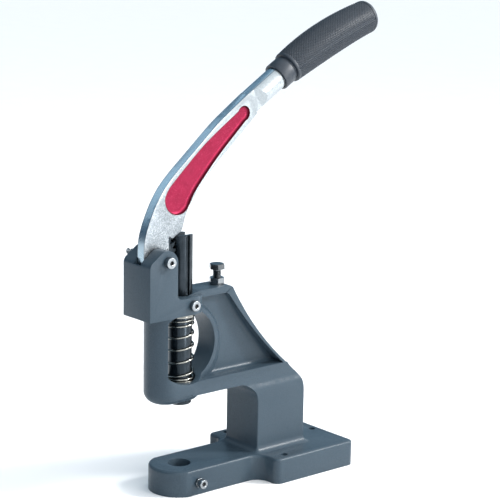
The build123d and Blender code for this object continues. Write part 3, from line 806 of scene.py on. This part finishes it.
def knurl(share):
    """Depth of the diamond knurl and of the two seams at each point of a loop."""
    around = np.arange(GRIP_POINTS) * 2 * math.pi / GRIP_POINTS
    v = (share - KNURL_FROM) / (KNURL_TO - KNURL_FROM) * KNURL_ALONG
    u = around / (2 * math.pi) * KNURL_AROUND
    groove = np.maximum(2 * np.abs(np.mod(u + v, 1) - 0.5), 2 * np.abs(np.mod(u - v, 1) - 0.5))
    depth = KNURL_DEPTH * np.clip((groove - 0.30) / 0.70, 0, 1)
    fade = np.clip(min(v, KNURL_ALONG - v) / 0.5, 0, 1)
    from_seam = np.abs(np.mod(around + math.pi / 2, math.pi) - math.pi / 2) * MEAN_GRIP_R
    with_lips = np.where(from_seam < SEAM_LIP_REACH, SEAM_LIP_DEPTH, depth * fade)
    return np.where(from_seam < SEAM_HALF_WIDTH, SEAM_DEPTH, with_lips)


def grip_start():
    """Loops from the bore's blind end out over the collar and the groove to the body."""
    profile = [(0.96, 0.2), (0.9599, BORE_R)]
    profile += [(share, BORE_R) for share in (0.75, 0.5, 0.25, 0.003)]
    profile += [(0.0, BORE_R + 0.4), (0.0, COLLAR_R - 0.7), (0.0015, COLLAR_R - 0.25)]
    profile += [(share, COLLAR_FACE_R) for share in (0.0055, 0.05, 0.100)]
    profile += [(0.1035, COLLAR_R - 0.2), (0.105, GROOVE_R), (0.121, GROOVE_R)]
    profile += [(0.1222, 14.7), (0.1245, 15.1), (0.131, 15.38)]
    return [grip_loop(share, radius) for share, radius in profile]


def grip_end():
    """Loops of the groove behind the knurl, the rim and its rounded edge."""
    cuts = ((0.9595, 0.1), (0.961, 0.75), (0.964, 0.8), (0.9655, 0.1), (0.968, 0.02), (0.972, 0.02))
    loops = [grip_loop(share, body_r(share) - cut) for share, cut in cuts]
    steps = 8
    for k in range(1, steps + 1):
        a = math.pi / 2 * k / steps
        share = 1 - (RIM_EDGE_R - RIM_EDGE_R * math.sin(a)) / GRIP_LENGTH
        loops.append(grip_loop(share - 0.0002, RIM_R - RIM_EDGE_R + RIM_EDGE_R * math.cos(a)))
    return loops


def handle_grip():
    loops = grip_start()
    rows = KNURL_ALONG * STEPS_PER_DIAMOND
    for i in range(rows + 1):
        share = KNURL_FROM + (KNURL_TO - KNURL_FROM) * i / rows
        loops.append(grip_loop(share, body_r(share) - knurl(share)))
    loops += grip_end()
    points, faces = bridge(loops)
    obj = make_mesh("knurled_grip", points, faces, RUBBER, "lever", sharp=40)
    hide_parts("handle_grip")


handle_grip()


# Stage, light and camera; places and sizes in metres

FLOOR_HALF = 6.0
LIGHT_TARGET = (0, 0.05, 0.2)
BRIGHT_SIDE = (0.80, 0.5, 0.35)
ROOM_STRENGTH = 1.8
CAMERA_PLACE = (1.30978, -1.03597, 0.60460)
CAMERA_AIM = (-0.74177, 0.63367, -0.21966)
CAMERA_ROLL = math.radians(0.972)
CAMERA_LENS = 135.36


def floor():
    corners = [(-1, -1), (1, -1), (1, 1), (-1, 1)]
    mesh = bpy.data.meshes.new("floor")
    mesh.from_pydata([(x * FLOOR_HALF, y * FLOOR_HALF, 0) for x, y in corners], [], [(0, 1, 2, 3)])
    mesh.materials.append(floor_paint())
    obj = bpy.data.objects.new("floor", mesh)
    bpy.context.scene.collection.objects.link(obj)


def area_light(name, place, size, power, colour=(1, 1, 1)):
    """A rectangular light that faces the press."""
    light = bpy.data.lights.new(name, "AREA")
    light.shape = "RECTANGLE"
    light.size, light.size_y = size
    light.energy = power
    light.color = colour
    obj = bpy.data.objects.new(name, light)
    obj.location = place
    obj.rotation_mode = "QUATERNION"
    obj.rotation_quaternion = (Vector(LIGHT_TARGET) - Vector(place)).to_track_quat("-Z", "Y")
    bpy.context.scene.collection.objects.link(obj)


def room():
    """Surroundings that go from white on one side to dark blue on the other."""
    world = bpy.data.worlds.new("studio")
    world.use_nodes = True
    tree = world.node_tree
    place = tree.nodes.new("ShaderNodeTexCoord")
    towards = tree.nodes.new("ShaderNodeVectorMath")
    towards.operation = "DOT_PRODUCT"
    towards.inputs[1].default_value = Vector(BRIGHT_SIDE).normalized() * 0.5
    shifted = tree.nodes.new("ShaderNodeMath")
    shifted.inputs[1].default_value = 0.5
    ramp = tree.nodes.new("ShaderNodeValToRGB")
    set_stops(ramp.color_ramp, [
        (0.0, (0.005, 0.02, 0.045)),
        (0.45, (0.13, 0.21, 0.28)),
        (0.7, (0.80, 0.86, 0.90)),
        (1.0, (1.0, 1.0, 1.0)),
    ])
    background = tree.nodes["Background"]
    background.inputs["Strength"].default_value = ROOM_STRENGTH
    tree.links.new(place.outputs["Generated"], towards.inputs[0])
    tree.links.new(towards.outputs["Value"], shifted.inputs[0])
    tree.links.new(shifted.outputs[0], ramp.inputs[0])
    tree.links.new(ramp.outputs[0], background.inputs["Color"])
    bpy.context.scene.world = world


def camera():
    """A long lens from the front right, a little above the press."""
    data = bpy.data.cameras.new("camera")
    data.sensor_width = 36.0
    data.lens = CAMERA_LENS
    data.clip_start, data.clip_end = 0.1, 50
    obj = bpy.data.objects.new("camera", data)
    forward = Vector(CAMERA_AIM).normalized()
    right = forward.cross(Vector(UP)).normalized()
    up = right.cross(forward)
    across = math.cos(CAMERA_ROLL) * right + math.sin(CAMERA_ROLL) * up
    upright = math.cos(CAMERA_ROLL) * up - math.sin(CAMERA_ROLL) * right
    turn = Matrix((across, upright, -forward)).transposed()
    obj.matrix_world = Matrix.Translation(CAMERA_PLACE) @ turn.to_4x4()
    bpy.context.scene.collection.objects.link(obj)
    bpy.context.scene.camera = obj


floor()
room()
bpy.context.scene.view_settings.view_transform = "Standard"
area_light("side", (1.6, 0.45, 0.5), (0.3, 1.0), 10)
area_light("key", (1.0, 1.2, 1.2), (0.3, 0.5), 34)
area_light("blue_box", (-1.5, -0.6, 1.3), (1.4, 1.2), 4, (0.75, 0.9, 1.0))
camera()
